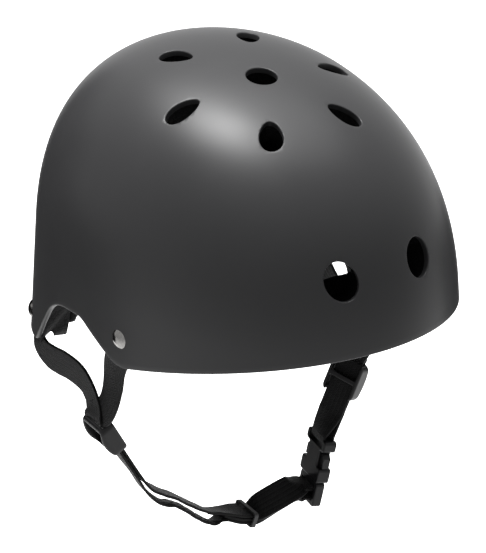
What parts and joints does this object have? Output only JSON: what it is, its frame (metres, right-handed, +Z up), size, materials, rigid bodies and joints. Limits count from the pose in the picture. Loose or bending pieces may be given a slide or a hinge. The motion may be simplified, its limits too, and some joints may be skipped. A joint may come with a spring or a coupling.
{
  "type": "skateboard helmet",
  "caption": "Hard-shell skateboard helmet with round and teardrop vents, low ear cuts, foam liner, comfort pads and a webbing chin strap with side-release buckle.",
  "frame": {"origin": "middle of the wearer's head at the level of the ears, under the shell's widest station", "axes": "+Z up as worn, -Y the way the wearer faces, -X the wearer's right"},
  "size_m": [0.2108, 0.2882, 0.2933],
  "materials": {
    "shell_plastic": "satin dark grey moulded plastic",
    "liner_foam": "black expanded foam",
    "pad_fabric": "brushed black knit over foam",
    "hook_and_loop": "black hook-and-loop",
    "rivet_metal": "satin nickel plate",
    "webbing": "black woven webbing",
    "keeper_rubber": "matt black",
    "buckle_plastic": "satin black acetal"
  },
  "bodies": {
    "helmet": {"outer_shell": "shell_plastic", "eps_liner": "liner_foam", "brow_pad": "pad_fabric", "nape_pad": "pad_fabric", "right_side_pad": "pad_fabric", "left_side_pad": "pad_fabric", "crown_pad": "pad_fabric", "hook_and_loop_dots": "hook_and_loop", "strap_rivets": "rivet_metal", "rivet_washers": "rivet_metal", "right_front_strap": "webbing", "right_rear_strap": "webbing", "left_front_strap": "webbing", "left_rear_strap": "webbing"},
    "chin_strap": {"inner_chin_strand": "webbing", "outer_chin_strand": "webbing", "adjuster_webbing": "webbing", "webbing_tail": "webbing", "buckle_webbing": "webbing", "buckle_housing": "buckle_plastic"},
    "right_slider": {"right_strap_slider": "buckle_plastic"},
    "left_slider": {"left_strap_slider": "buckle_plastic"},
    "keeper": {"strap_keeper": "keeper_rubber"},
    "tongue": {"buckle_tongue": "buckle_plastic", "tongue_webbing_loop": "webbing"},
    "front_prong": {"front_prong": "buckle_plastic"},
    "rear_prong": {"rear_prong": "buckle_plastic"}
  },
  "joints": [
    {"name": "chin_strap_swing", "type": "hinge", "parent": "helmet", "child": "chin_strap", "pos_m": [-0.099, -0.016, -0.052], "axis": [0.9907, 0.0344, -0.1317], "range_deg": [-60, 60], "deforming": ["right_front_strap", "right_rear_strap", "left_front_strap", "left_rear_strap"]},
    {"name": "right_slider_slide", "type": "slide", "parent": "chin_strap", "child": "right_slider", "axis": [0.4475, 0.0155, -0.8942], "range_m": [0, 0.012]},
    {"name": "left_slider_slide", "type": "slide", "parent": "chin_strap", "child": "left_slider", "axis": [-0.4334, -0.015, -0.9011], "range_m": [0, 0.005]},
    {"name": "keeper_slide", "type": "slide", "parent": "chin_strap", "child": "keeper", "axis": [-0.9391, -0.0326, 0.342], "range_m": [0, 0.006]},
    {"name": "buckle_release", "type": "slide", "parent": "chin_strap", "child": "tongue", "axis": [-0.2367, -0.0082, -0.9715], "range_m": [0, 0.024], "deforming": ["adjuster_webbing", "webbing_tail", "front_prong", "rear_prong"]},
    {"name": "front_prong_squeeze", "type": "hinge", "parent": "tongue", "child": "front_prong", "pos_m": [0.04571, -0.01805, -0.14713], "axis": [-0.9597, 0.1576, 0.2325], "range_deg": [0, 8], "stiffness_Nm_per_rad": 0.3},
    {"name": "rear_prong_squeeze", "type": "hinge", "parent": "tongue", "child": "rear_prong", "pos_m": [0.04788, -0.00383, -0.14777], "axis": [0.9597, -0.1576, -0.2325], "range_deg": [0, 8], "stiffness_Nm_per_rad": 0.3}
  ],
  "couplings": [
    {"joint": "rear_prong_squeeze", "follows": "front_prong_squeeze", "ratio": 1}
  ]
}
